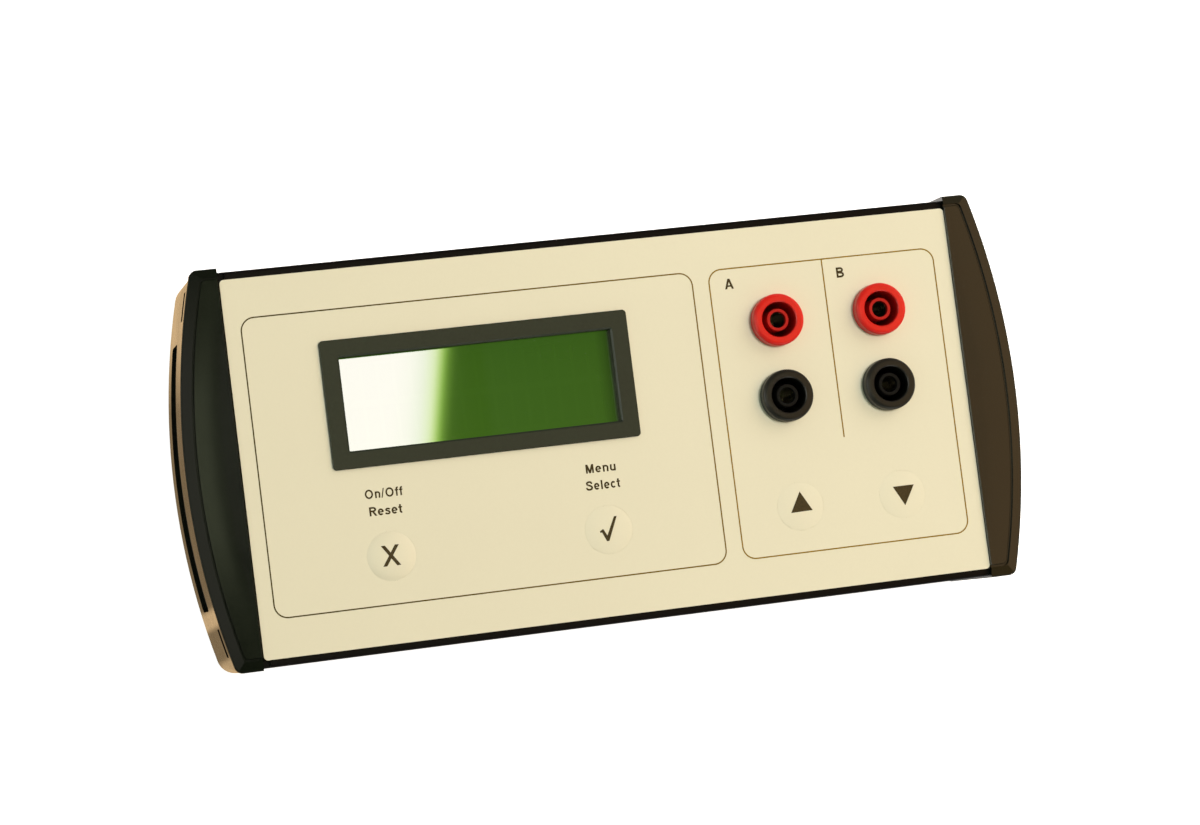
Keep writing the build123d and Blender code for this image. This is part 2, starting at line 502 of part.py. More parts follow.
# ------------------------------------------------------------------ battery
bx = block(BOX[0], BOX[1], BOX[2], BOX[3], FLOOR, BOX_TOP)
bx = fillet(bx.edges().filter_by(Axis.Z), 1.0)
for (x, y) in BOX_POSTS:
    bx += rod(x, y, 3.1, FLOOR, 12.0)
    w0, w1 = sorted((x, BOX[0] + 0.8 if x < 20 else BOX[1] - 0.8))
    bx += block(w0, w1, y - 1.2, y + 1.2, FLOOR, 11.4)
bx -= block(9.8, 37.2, -36.9, 17.9, FLOOR - 1, BOX_TOP - 1.1)
for (x, y) in BOX_POSTS:
    bx -= rod(x, y, 1.27, FLOOR - 1, 11.2)
bx -= block(16.5, 30.5, 17.0, 20.5, 9.5, 14.5)
save("battery_box", bx)

bt = block(BAT[0], BAT[1], BAT[2], BAT[3], BAT_Z0, BAT_Z0 + BAT_H)
bt = fillet(bt.edges().filter_by(Axis.Y), 2.0)
BZ = BAT_Z0 + BAT_H / 2
bt += rod_y(23.5 - 6.35, BZ, 2.8, BAT[3], BAT[3] + 2.2)
bt += rod_y(23.5 + 6.35, BZ, 3.4, BAT[3], BAT[3] + 2.2)
save("battery", bt)
cl = block(11.5, 35.5, BAT[3] + 0.1, 16.0, BZ - 5.8, BZ + 5.8)
cl = fillet(cl.edges().filter_by(Axis.Y), 2.5)
cl -= rod_y(23.5 - 6.35, BZ, 2.9, BAT[3] - 1, BAT[3] + 2.4)
cl -= rod_y(23.5 + 6.35, BZ, 3.5, BAT[3] - 1, BAT[3] + 2.4)
save("battery_clip", cl)
for name, x in (("battery_lead_red", 20.0), ("battery_lead_black", 27.0)):
    path = FilletPolyline((x, 16.0, 12.0), (x, 31.0, 12.0), (x, 31.0, PCB_Z), radius=3.6)
    prof = Plane(origin=path @ 0, z_dir=path % 0) * Circle(0.8)
    save(name, sweep(prof, path=path))

LID = (6.8, 40.2, -39.4, 20.4)
lid = plate(LID[0], LID[1], LID[2], LID[3], Z_BASE - 1.6, Z_BASE - 0.1, 2.0)
lid = fillet(lid.edges().group_by(Axis.Z)[0], 0.4)
for i in range(5):
    y = -32.0 + 2.2 * i
    lid -= plate(14.5, 32.5, y - 0.5, y + 0.5, Z_BASE - 2, Z_BASE - 1.1, 0.45)
for (a, b) in LIPS:
    for sx in (-1, 1):
        i0, i1 = sorted((23.5 + sx * 12.4, 23.5 + sx * 13.5))
        lid += block(i0, i1, a, b, Z_BASE - 0.5, 5.35)
        l0, l1 = sorted((23.5 + sx * 13.0, 23.5 + sx * 14.5))
        lid += block(l0, l1, a, b, 4.4, 5.35)
save("battery_lid", lid)
save("lid_pad", block(13.0, 34.0, -33.0, 7.4, Z_BASE - 0.1, 5.2))

# --------------------------------------------------------------------- feet
feet = []
for (x, y) in FEET:
    f = rod(x, y, FOOT_R, 0, Z_BASE + 0.4)
    feet.append(fillet(f.edges().group_by(Axis.Z)[0], 0.8))
save("rubber_feet", *feet)
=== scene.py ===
import math

import bmesh
import bpy
from mathutils import Matrix, Vector
from mathutils.bvhtree import BVHTree


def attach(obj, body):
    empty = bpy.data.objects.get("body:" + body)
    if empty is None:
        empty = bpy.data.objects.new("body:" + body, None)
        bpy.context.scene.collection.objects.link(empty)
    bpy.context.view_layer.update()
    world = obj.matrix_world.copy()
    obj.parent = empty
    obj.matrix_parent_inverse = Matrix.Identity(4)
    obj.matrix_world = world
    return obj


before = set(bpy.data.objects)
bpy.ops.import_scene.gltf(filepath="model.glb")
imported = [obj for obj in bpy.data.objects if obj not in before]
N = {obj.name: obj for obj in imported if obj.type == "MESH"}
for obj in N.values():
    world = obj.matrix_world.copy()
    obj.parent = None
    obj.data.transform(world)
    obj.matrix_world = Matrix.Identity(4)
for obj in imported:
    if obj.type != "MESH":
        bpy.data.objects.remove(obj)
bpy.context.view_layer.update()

MM = 0.001
Z_FILM = 35.0            # mm, top face of the panel film


# ------------------------------------------------------------ node helpers
class Mat:
    """A Principled material with a small procedural network built by hand."""

    def __init__(self, name, base, rough, metallic=0.0, ior=1.5, spec=0.5, coat=0.0, coat_rough=0.1):
        self.m = bpy.data.materials.new(name)
        self.m.use_nodes = True
        self.nt = self.m.node_tree
        self.nt.nodes.clear()
        self.out = self.nt.nodes.new("ShaderNodeOutputMaterial")
        self.p = self.nt.nodes.new("ShaderNodeBsdfPrincipled")
        self.nt.links.new(self.p.outputs["BSDF"], self.out.inputs["Surface"])
        self.p.inputs["Base Color"].default_value = (*base, 1.0)
        self.p.inputs["Roughness"].default_value = rough
        self.p.inputs["Metallic"].default_value = metallic
        self.p.inputs["IOR"].default_value = ior
        self.p.inputs["Specular IOR Level"].default_value = spec
        self.p.inputs["Coat Weight"].default_value = coat
        self.p.inputs["Coat Roughness"].default_value = coat_rough
        self.base, self.rough = base, rough
        self.coord = self.nt.nodes.new("ShaderNodeTexCoord")
        self.m.diffuse_color = (*base, 1.0)

    def n(self, kind, **props):
        node = self.nt.nodes.new(kind)
        for k, v in props.items():
            setattr(node, k, v)
        return node

    def link(self, a, b):
        self.nt.links.new(a, b)

    def noise(self, scale, detail=2.0, rough=0.5, stretch=None):
        t = self.n("ShaderNodeTexNoise")
        t.inputs["Scale"].default_value = scale
        t.inputs["Detail"].default_value = detail
        t.inputs["Roughness"].default_value = rough
        if stretch:
            mp = self.n("ShaderNodeMapping")
            mp.inputs["Scale"].default_value = stretch
            self.link(self.coord.outputs["Object"], mp.inputs["Vector"])
            self.link(mp.outputs["Vector"], t.inputs["Vector"])
        else:
            self.link(self.coord.outputs["Object"], t.inputs["Vector"])
        return t.outputs["Fac"]

    def ramp(self, fac, lo, hi, a, b):
        r = self.n("ShaderNodeMapRange")
        r.inputs["From Min"].default_value = lo
        r.inputs["From Max"].default_value = hi
        r.inputs["To Min"].default_value = a
        r.inputs["To Max"].default_value = b
        self.link(fac, r.inputs["Value"])
        return r.outputs["Result"]

    def mix(self, fac, a, b):
        x = self.n("ShaderNodeMix", data_type="RGBA")
        if hasattr(fac, "links"):
            self.link(fac, x.inputs["Factor"])
        else:
            x.inputs["Factor"].default_value = fac
        for v, i in ((a, 6), (b, 7)):
            if hasattr(v, "links"):
                self.link(v, x.inputs[i])
            else:
                x.inputs[i].default_value = (*v, 1.0)
        return x.outputs[2]

    def math(self, op, a, b=None, c=None):
        x = self.n("ShaderNodeMath", operation=op)
        for i, v in enumerate((a, b, c)):
            if v is None:
                continue
            if hasattr(v, "links"):
                self.link(v, x.inputs[i])
            else:
                x.inputs[i].default_value = v
        return x.outputs[0]

    def color(self, sock):
        self.link(sock, self.p.inputs["Base Color"])

    def roughness(self, sock):
        self.link(sock, self.p.inputs["Roughness"])

    def bump(self, height, strength, distance):
        b = self.n("ShaderNodeBump")
        b.inputs["Strength"].default_value = strength
        b.inputs["Distance"].default_value = distance
        self.link(height, b.inputs["Height"])
        self.link(b.outputs["Normal"], self.p.inputs["Normal"])
        return b


def scale_rgb(c, k):
    return tuple(min(1.0, x * k) for x in c)


def moulded(name, base, rough, grain=1500.0, bump=0.22, dist=0.00004, vary=0.12, spec=0.5, tint=None):
    """Moulded plastic: fine spark-eroded grain, faint mottling, uneven gloss."""
    k = Mat(name, base, rough, spec=spec)
    low = k.noise(55.0, 3.0)
    fine = k.noise(grain, 3.0, 0.6)
    col = k.mix(k.ramp(low, 0.3, 0.7, 0.0, 1.0), scale_rgb(base, 1 - vary), tint or scale_rgb(base, 1 + vary))
    col = k.mix(k.ramp(fine, 0.35, 0.75, 0.0, 0.30), col, scale_rgb(base, 1.6))
    k.color(col)
    k.roughness(k.math("ADD", k.ramp(low, 0.3, 0.7, rough - 0.03, rough + 0.04), k.ramp(fine, 0.3, 0.7, -0.03, 0.03)))
    k.bump(fine, bump, dist)
    return k.m


# --------------------------------------------------------------- materials
SOCKET_X, SOCKET_Y = (44.86, 71.71), (21.92, 2.87)      # mm, axes of the four sockets
INK = (0.042, 0.029, 0.009)
CREAM = (0.737, 0.722, 0.558)


def make_film():
    k = Mat("film_cream", CREAM, 0.42)
    low = k.noise(14.0, 3.0)
    grain = k.noise(1900.0, 2.0, 0.6)
    col = k.mix(k.ramp(low, 0.35, 0.65, 0.0, 1.0), scale_rgb(CREAM, 0.985), scale_rgb(CREAM, 1.012))
    col = k.mix(k.ramp(grain, 0.35, 0.65, 0.0, 0.10), col, scale_rgb(CREAM, 0.90))
    k.color(col)
    k.roughness(k.ramp(grain, 0.3, 0.7, 0.38, 0.47))
    k.bump(grain, 0.16, 0.00002)
    # each embossed key is softly crowned, some more than others
    sep = k.n("ShaderNodeSeparateXYZ")
    k.link(k.coord.outputs["Object"], sep.inputs["Vector"])
    total = None
    for cx, cy, rise, rim in ((-58.6, -24.9, 3.0, 230000), (-4.3, -24.9, 2.0, 30000),
                              (45.1, -24.9, 0.5, 5000), (71.9, -24.9, 0.5, 5000)):
        dx = k.math("SUBTRACT", sep.outputs["X"], cx * MM)
        dy = k.math("SUBTRACT", sep.outputs["Y"], cy * MM)
        d2 = k.math("MINIMUM", k.math("ADD", k.math("MULTIPLY", dx, dx), k.math("MULTIPLY", dy, dy)), 0.000036)
        term = k.math("MULTIPLY", d2, k.math("ADD", k.math("MULTIPLY", d2, rim), rise))
        total = term if total is None else k.math("ADD", total, term)
    crown = k.n("ShaderNodeBump")
    crown.invert = True
    crown.inputs["Strength"].default_value = 1.0
    crown.inputs["Distance"].default_value = 1.0
    k.link(total, crown.inputs["Height"])
    k.link(k.p.inputs["Normal"].links[0].from_socket, crown.inputs["Normal"])
    k.link(crown.outputs["Normal"], k.p.inputs["Normal"])
    return k.m


def make_ink(name="film_print", ink=INK):
    k = Mat(name, ink, 0.45, spec=0.2)
    grain = k.noise(1900.0, 2.0, 0.6)
    k.color(k.mix(k.ramp(grain, 0.35, 0.65, 0.0, 1.0), scale_rgb(ink, 0.85), scale_rgb(ink, 1.2)))
    k.roughness(k.ramp(grain, 0.3, 0.7, 0.40, 0.48))
    k.bump(grain, 0.16, 0.00002)
    return k.m


def make_line(name, left, right):
    """Line ink that gets browner towards the right end of the panel's left frame."""
    k = Mat(name, left, 0.45, spec=0.2)
    sep = k.n("ShaderNodeSeparateXYZ")
    k.link(k.coord.outputs["Object"], sep.inputs["Vector"])
    k.color(k.mix(k.ramp(sep.outputs["X"], -0.070, 0.024, 0.0, 1.0), left, right))
    return k.m


def make_socket(name, base, rough, spec, tube_shade_colour, vary, tube_rough):
    """Socket moulding; the recessed inner tube around the contact is painted darker than the flange, as painted shade.
    """
    k = Mat(name, base, rough, spec=spec)
    sep = k.n("ShaderNodeSeparateXYZ")
    k.link(k.coord.outputs["Object"], sep.inputs["Vector"])
    near = None
    for cx in SOCKET_X:
        for cy in SOCKET_Y:
            dx = k.math("SUBTRACT", sep.outputs["X"], cx * MM)
            dy = k.math("SUBTRACT", sep.outputs["Y"], cy * MM)
            d = k.math("SQRT", k.math("ADD", k.math("MULTIPLY", dx, dx), k.math("MULTIPLY", dy, dy)))
            near = d if near is None else k.math("MINIMUM", near, d)
    low = k.noise(55.0, 3.0)
    fine = k.noise(900.0, 3.0, 0.6)
    col = k.mix(k.ramp(low, 0.3, 0.7, 0.0, 1.0), scale_rgb(base, 1 - vary), scale_rgb(base, 1 + vary))
    col = k.mix(k.ramp(fine, 0.35, 0.75, 0.0, 0.20), col, scale_rgb(base, 1.3))
    # painted shade: inside this radius the recessed tube takes the darker colour
    inner = k.ramp(near, 0.00300, 0.00310, 1.0, 0.0)
    col = k.mix(inner, col, tube_shade_colour)
    k.color(col)
    gloss = k.math("ADD", k.ramp(low, 0.3, 0.7, rough - 0.03, rough + 0.04), k.ramp(fine, 0.3, 0.7, -0.03, 0.03))
    k.roughness(k.math("MAXIMUM", gloss, k.math("MULTIPLY", inner, tube_rough)))
    k.bump(fine, 0.05, 0.00003)
    # the flange's face is very slightly crowned
    crown = k.n("ShaderNodeBump")
    crown.invert = True
    crown.inputs["Strength"].default_value = 1.0
    crown.inputs["Distance"].default_value = 0.025
    k.link(near, crown.inputs["Height"])
    k.link(k.p.inputs["Normal"].links[0].from_socket, crown.inputs["Normal"])
    k.link(crown.outputs["Normal"], k.p.inputs["Normal"])
    return k.m


def make_anodised():
    base = (0.0036, 0.0031, 0.0028)
    k = Mat("anodised_black", base, 0.30, spec=0.06)
    lines = k.noise(260.0, 3.0, 0.6, stretch=(0.03, 1.0, 1.0))
    fine = k.noise(2400.0, 2.0)
    k.color(k.mix(k.ramp(lines, 0.3, 0.7, 0.0, 1.0), scale_rgb(base, 0.8), scale_rgb(base, 1.5)))
    k.roughness(k.math("ADD", k.ramp(lines, 0.3, 0.7, 0.29, 0.38), k.ramp(fine, 0.3, 0.7, -0.02, 0.02)))
    k.bump(lines, 0.10, 0.00002)
    return k.m


def make_display():
    """Unlit green display behind its cover glass, with painted shade and a painted glow."""
    green = (0.045, 0.150, 0.008)
    k = Mat("display_green", green, 0.025, ior=1.52, spec=0.5)
    sep = k.n("ShaderNodeSeparateXYZ")
    k.link(k.coord.outputs["Object"], sep.inputs["Vector"])
    x, y = sep.outputs["X"], sep.outputs["Y"]
    # the green is a little brighter low down and to the left
    gx = k.ramp(x, -0.066, 0.003, 1.0, 0.0)
    gy = k.ramp(y, 0.001, 0.025, 1.0, 0.0)
    g = k.math("ADD", k.math("MULTIPLY", gx, 0.55), k.math("MULTIPLY", gy, 0.45))
    col = k.mix(g, (0.036, 0.104, 0.0080), (0.055, 0.136, 0.0130))
    blot = k.noise(70.0, 3.0)
    col = k.mix(k.ramp(blot, 0.35, 0.65, 0.0, 0.35), col, (0.043, 0.118, 0.0095))
    # unlit dot-matrix cells, only just darker than the gaps between them
    cellx = k.math("FRACT", k.math("MULTIPLY", k.math("ADD", x, 0.0642), 1 / 0.00405))
    celly = k.math("FRACT", k.math("MULTIPLY", k.math("ADD", y, -0.0024), 1 / 0.01045))
    inx = k.math("LESS_THAN", k.math("ABSOLUTE", k.math("SUBTRACT", cellx, 0.44)), 0.40)
    iny = k.math("LESS_THAN", k.math("ABSOLUTE", k.math("SUBTRACT", celly, 0.48)), 0.42)
    cell = k.math("MULTIPLY", inx, iny)
    col = k.mix(k.math("MULTIPLY", cell, 0.10), col, (0.031, 0.090, 0.0060))
    # painted shade: it darkens towards the right wall of the bezel, standing in for the wall's shadow on the display
    wall_shade = k.math("MULTIPLY", k.ramp(x, -0.0014, 0.0018, 1.0, 0.62), k.ramp(x, 0.00175, 0.00205, 1.0, 0.40))
    col = k.mix(wall_shade, (0.0, 0.0, 0.0), col)
    # painted glow: the base is darkened and the same green is also emitted, standing in for light that the bezel's
    # walls keep off the display
    k.color(k.mix(0.72, col, (0.0, 0.0, 0.0)))
    k.link(col, k.p.inputs["Emission Color"])
    k.p.inputs["Emission Strength"].default_value = 0.70
    return k.m


def make_metal(name, base, rough, scale=300.0, stretch=(1, 1, 1)):
    k = Mat(name, base, rough, metallic=1.0)
    a = k.noise(scale, 3.0, 0.6, stretch=stretch)
    k.color(k.mix(k.ramp(a, 0.3, 0.7, 0.0, 1.0), scale_rgb(base, 0.85), scale_rgb(base, 1.1)))
    k.roughness(k.ramp(a, 0.3, 0.7, rough - 0.06, rough + 0.08))
    k.bump(a, 0.08, 0.00002)
    return k.m


def make_foam():
    base = (0.05, 0.05, 0.052)
    k = Mat("pad_foam", base, 0.9, spec=0.2)
    v = k.n("ShaderNodeTexVoronoi")
    v.inputs["Scale"].default_value = 1800.0
    k.link(k.coord.outputs["Object"], v.inputs["Vector"])
    k.color(k.mix(k.ramp(v.outputs["Distance"], 0.0, 0.6, 0.0, 1.0), scale_rgb(base, 0.4), scale_rgb(base, 1.5)))
    k.bump(v.outputs["Distance"], 0.6, 0.0002)
    return k.m


def make_board():
    base = (0.012, 0.11, 0.04)
    k = Mat("board_green", base, 0.35)
    a = k.noise(220.0, 2.0)
    b = k.noise(2500.0, 2.0)
    k.color(k.mix(k.ramp(a, 0.45, 0.55, 0.0, 1.0), scale_rgb(base, 0.75), scale_rgb(base, 1.25)))
    k.bump(b, 0.1, 0.00003)
    return k.m


M = {
    "film": make_film(),
    "ink": make_ink(),
    "line_left": make_line("film_line_left", (0.060, 0.045, 0.010), (0.170, 0.105, 0.006)),
    "line_right": make_ink("film_line_right", (0.235, 0.145, 0.006)),
    "anodised": make_anodised(),
    # the end caps are lit and shaded copies of one moulding: the right cap's copy has a darker base and far more
    # specular, a painted sheen
    "cap": moulded("cap_moulding", (0.0048, 0.0066, 0.0038), 0.18, grain=1400, bump=0.05, dist=0.00003, spec=0.08),
    "cap_right_sheen": moulded("cap_moulding_right_sheen", (0.0042, 0.0056, 0.0032), 0.18, grain=1400, bump=0.05, dist=0.00003, spec=0.34),
    "insert": moulded("insert_moulding", (0.040, 0.035, 0.029), 0.6, grain=1800, bump=0.2),
    "bezel": moulded("bezel_moulding", (0.0192, 0.0250, 0.0154), 0.48, spec=0.26, grain=1300, bump=0.34, dist=0.00005, vary=0.10),
    "display": make_display(),
    "backlight": moulded("light_guide", (0.06, 0.16, 0.02), 0.4),
    "red": make_socket("socket_red", (0.620, 0.0125, 0.0075), 0.33, 0.22, (0.43, 0.008, 0.006), 0.04, 0.62),
    "black": make_socket("socket_black", (0.0095, 0.0088, 0.0062), 0.36, 0.23, (0.0045, 0.0048, 0.0042), 0.10, 0.85),
    # painted shade: the contacts and nuts get a very dark base, standing in for the shade deep in the socket bores
    "nickel": make_metal("contact_nickel_shaded", (0.20, 0.18, 0.135), 0.30),
    "brass": make_metal("standoff_brass", (0.72, 0.52, 0.22), 0.3),
    "steel": make_metal("screw_steel", (0.55, 0.55, 0.55), 0.32),
    "plate": make_metal("plate_aluminium", (0.66, 0.67, 0.68), 0.38, 200.0, (1, 0.05, 1)),
    "can": make_metal("can_aluminium", (0.75, 0.75, 0.76), 0.3),
    "frame": moulded("display_frame_paint", (0.016, 0.016, 0.016), 0.4),
    "board": make_board(),
    "part": moulded("part_black", (0.02, 0.02, 0.02), 0.45),
    "wire_red": moulded("wire_red", (0.55, 0.02, 0.015), 0.4),
    "wire_black": moulded("wire_black", (0.015, 0.015, 0.015), 0.4),
    "lid": moulded("lid_moulding", (0.019, 0.0195, 0.018), 0.45, grain=1400, bump=0.30, dist=0.00005),
    "battery": moulded("battery_jacket", (0.04, 0.04, 0.06), 0.3),
    "foot": moulded("foot_rubber", (0.018, 0.018, 0.018), 0.75, grain=1200, bump=0.4, dist=0.00006, spec=0.3),
    "foam": make_foam(),
}
USE = {
    "film": ["membrane_overlay", "key_dome_reset", "key_dome_select", "key_dome_up", "key_dome_down"],
    "anodised": ["top_shell", "bottom_shell"],
    "cap": ["left_end_cap"],
    "cap_right_sheen": ["right_end_cap"],
    "insert": ["left_side_insert", "right_side_insert"],
    "bezel": ["lcd_bezel"],
    "display": ["lcd_glass"],
    "backlight": ["lcd_backlight"],
    "frame": ["lcd_frame"],
    "red": ["socket_a_red", "socket_b_red"],
    "black": ["socket_a_black", "socket_b_black"],
    "nickel": ["socket_contacts", "socket_nuts"],
    "brass": ["lcd_standoffs", "board_standoffs"],
    "steel": ["lcd_screws", "board_screws", "base_screws", "end_plate_screws"],
    "plate": ["left_end_plate", "right_end_plate"],
    "can": ["crystal", "capacitors"],
    "board": ["lcd_board", "main_board"],
    "part": ["lcd_header", "microcontroller", "switch_housings", "battery_clip", "key_plunger_reset",
             "key_plunger_select", "key_plunger_up", "key_plunger_down"],
    "wire_red": ["battery_lead_red"],
    "wire_black": ["battery_lead_black", "socket_leads"],
    "lid": ["battery_lid", "battery_box"],
    "battery": ["battery"],
    "foot": ["rubber_feet"],
    "foam": ["lid_pad"],
}
for key, names in USE.items():
    for name in names:
        o = N[name]
        if not o.material_slots:
            o.data.materials.append(M[key])
        for s in o.material_slots:
            s.material = M[key]
missing = sorted(set(N) - {n for v in USE.values() for n in v})
if missing:
    raise SystemExit("no finish given to " + ", ".join(missing))


# ------------------------------------------------------------ printed marks
def new_piece(name, verts, faces, mat, body):
    me = bpy.data.meshes.new(name)
    me.from_pydata(verts, [], faces)
    me.validate()
    bm = bmesh.new()
    bm.from_mesh(me)
    bmesh.ops.recalc_face_normals(bm, faces=bm.faces)
    bm.to_mesh(me)
    bm.free()
    me.materials.append(mat)
    o = bpy.data.objects.new(name, me)
    bpy.context.scene.collection.objects.link(o)
    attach(o, body)
    return o


# the thin web of film that joins each key's dome to the panel film
def web_ring(name, cx, cy, r0, r1, z0, z1, steps=192):
    verts, faces = [], []
    for i in range(steps):
        a = 2 * math.pi * i / steps
        for r, z in ((r0, z0), (r1, z0), (r1, z1), (r0, z1)):
            verts.append(((cx + r * math.cos(a)) * MM, (cy + r * math.sin(a)) * MM, z * MM))
    for i in range(steps):
        j = (i + 1) % steps
        for k in range(4):
            m = (k + 1) % 4
            faces.append((4 * i + k, 4 * j + k, 4 * j + m, 4 * i + m))
    return new_piece(name, verts, faces, M["film"], "case")


for key, (cx, cy) in {"reset": (-58.6, -24.9), "select": (-4.3, -24.9),
                      "up": (45.1, -24.9), "down": (71.9, -24.9)}.items():
    web_ring("film_web_" + key, cx, cy, 6.006, 6.044, Z_FILM - 0.50, Z_FILM - 0.012)


PRINT_LO, PRINT_HI = -0.004, 0.016       # mm below and above the film's face


def prism(loops, zfun=None):
    """Filled face from one outer loop and any number of holes, all in mm, at height zero."""
    bm = bmesh.new()
    edges = []
    for lp in loops:
        vs = [bm.verts.new((x * MM, y * MM, 0)) for x, y in lp]
        for i in range(len(vs)):
            edges.append(bm.edges.new((vs[i], vs[(i + 1) % len(vs)])))
    bmesh.ops.triangle_fill(bm, use_beauty=True, use_dissolve=False, edges=edges, normal=(0, 0, 1))
    return bm


def slab(name, loops, body="case", zfun=None, cut=None, mat="ink"):
    bm = prism(loops)
    if cut:
        # finer mesh, so that the print follows a curved surface
        for k in range(len(cut)):
            axis, step, lo, hi = cut[k]
            v = lo + step
            while v < hi:
                no = (1, 0, 0) if axis == 0 else (0, 1, 0)
                co = (v * MM, 0, 0) if axis == 0 else (0, v * MM, 0)
                geom = bm.verts[:] + bm.edges[:] + bm.faces[:]
                bmesh.ops.bisect_plane(bm, geom=geom, plane_co=co, plane_no=no)
                v += step
    bottom = bm.faces[:]
    ret = bmesh.ops.extrude_face_region(bm, geom=bottom)
    topv = [g for g in ret["geom"] if isinstance(g, bmesh.types.BMVert)]
    tops = set(topv)
    for v in bm.verts:
        z = (zfun(v.co.x / MM, v.co.y / MM) if zfun else Z_FILM)
        v.co.z = (z + (PRINT_HI if v in tops else PRINT_LO)) * MM
    bmesh.ops.recalc_face_normals(bm, faces=bm.faces)
    me = bpy.data.meshes.new(name)
    bm.to_mesh(me)
    bm.free()
    me.materials.append(M[mat])
    o = bpy.data.objects.new(name, me)
    bpy.context.scene.collection.objects.link(o)
    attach(o, body)
    return o


def round_rect(x0, x1, y0, y1, r, seg=14):
    pts = []
    for cx, cy, a0 in ((x1 - r, y1 - r, 0), (x0 + r, y1 - r, 90), (x0 + r, y0 + r, 180), (x1 - r, y0 + r, 270)):
        for i in range(seg + 1):
            a = math.radians(a0 + 90 * i / seg)
            pts.append((cx + r * math.cos(a), cy + r * math.sin(a)))
    return pts


def outline(name, x0, x1, y0, y1, r, w, mat):
    h = w / 2
    return slab(name, [round_rect(x0 - h, x1 + h, y0 - h, y1 + h, r + h), round_rect(x0 + h, x1 - h, y0 + h, y1 - h, r - h)],
                mat=mat)


LINE = 0.34
outline("print_frame_left", -88.28, 24.63, -36.56, 36.13, 3.3, LINE, "line_left")
outline("print_frame_right", 28.96, 88.13, -36.37, 36.10, 3.3, LINE, "line_right")
slab("print_divider", [[(58.7 - LINE / 2, -9.0), (58.7 + LINE / 2, -9.0), (58.7 + LINE / 2, 36.1 - LINE / 2 + 0.01),
                        (58.7 - LINE / 2, 36.1 - LINE / 2 + 0.01)]], mat="line_right")


# plain sans letters drawn as strokes; one unit is the height of a capital
SW = 0.190               # stroke width
XH = 0.735               # height of the small letters


def arc(cx, cy, rx, ry, a0, a1, n=12):
    return [(cx + rx * math.cos(math.radians(a0 + (a1 - a0) * i / n)),
             cy + ry * math.sin(math.radians(a0 + (a1 - a0) * i / n))) for i in range(n + 1)]


def band(path, w=SW, closed=False):
    """Loops of the strip of width w along a path."""
    n = len(path)
    left, right_ = [], []
    for i in range(n):
        if closed:
            a, b = path[i - 1], path[(i + 1) % n]
        else:
            a, b = path[max(0, i - 1)], path[min(n - 1, i + 1)]
        dx, dy = b[0] - a[0], b[1] - a[1]
        d = math.hypot(dx, dy) or 1.0
        k = 1.0
        if 0 < i < n - 1:
            p, q, r = path[i - 1], path[i], path[i + 1]
            u = (q[0] - p[0], q[1] - p[1])
            v = (r[0] - q[0], r[1] - q[1])
            lu, lv = math.hypot(*u) or 1.0, math.hypot(*v) or 1.0
            c = max(-1.0, min(1.0, (u[0] * v[0] + u[1] * v[1]) / (lu * lv)))
            k = min(1.6, 1.0 / max(0.5, math.cos(math.acos(c) / 2)))
        nx, ny = -dy / d * w / 2 * k, dx / d * w / 2 * k
        left.append((path[i][0] + nx, path[i][1] + ny))
        right_.append((path[i][0] - nx, path[i][1] - ny))
    if closed:
        return [left, right_]
    return [left + right_[::-1]]


def box(x0, x1, y0, y1):
    return [[(x0, y0), (x1, y0), (x1, y1), (x0, y1)]]


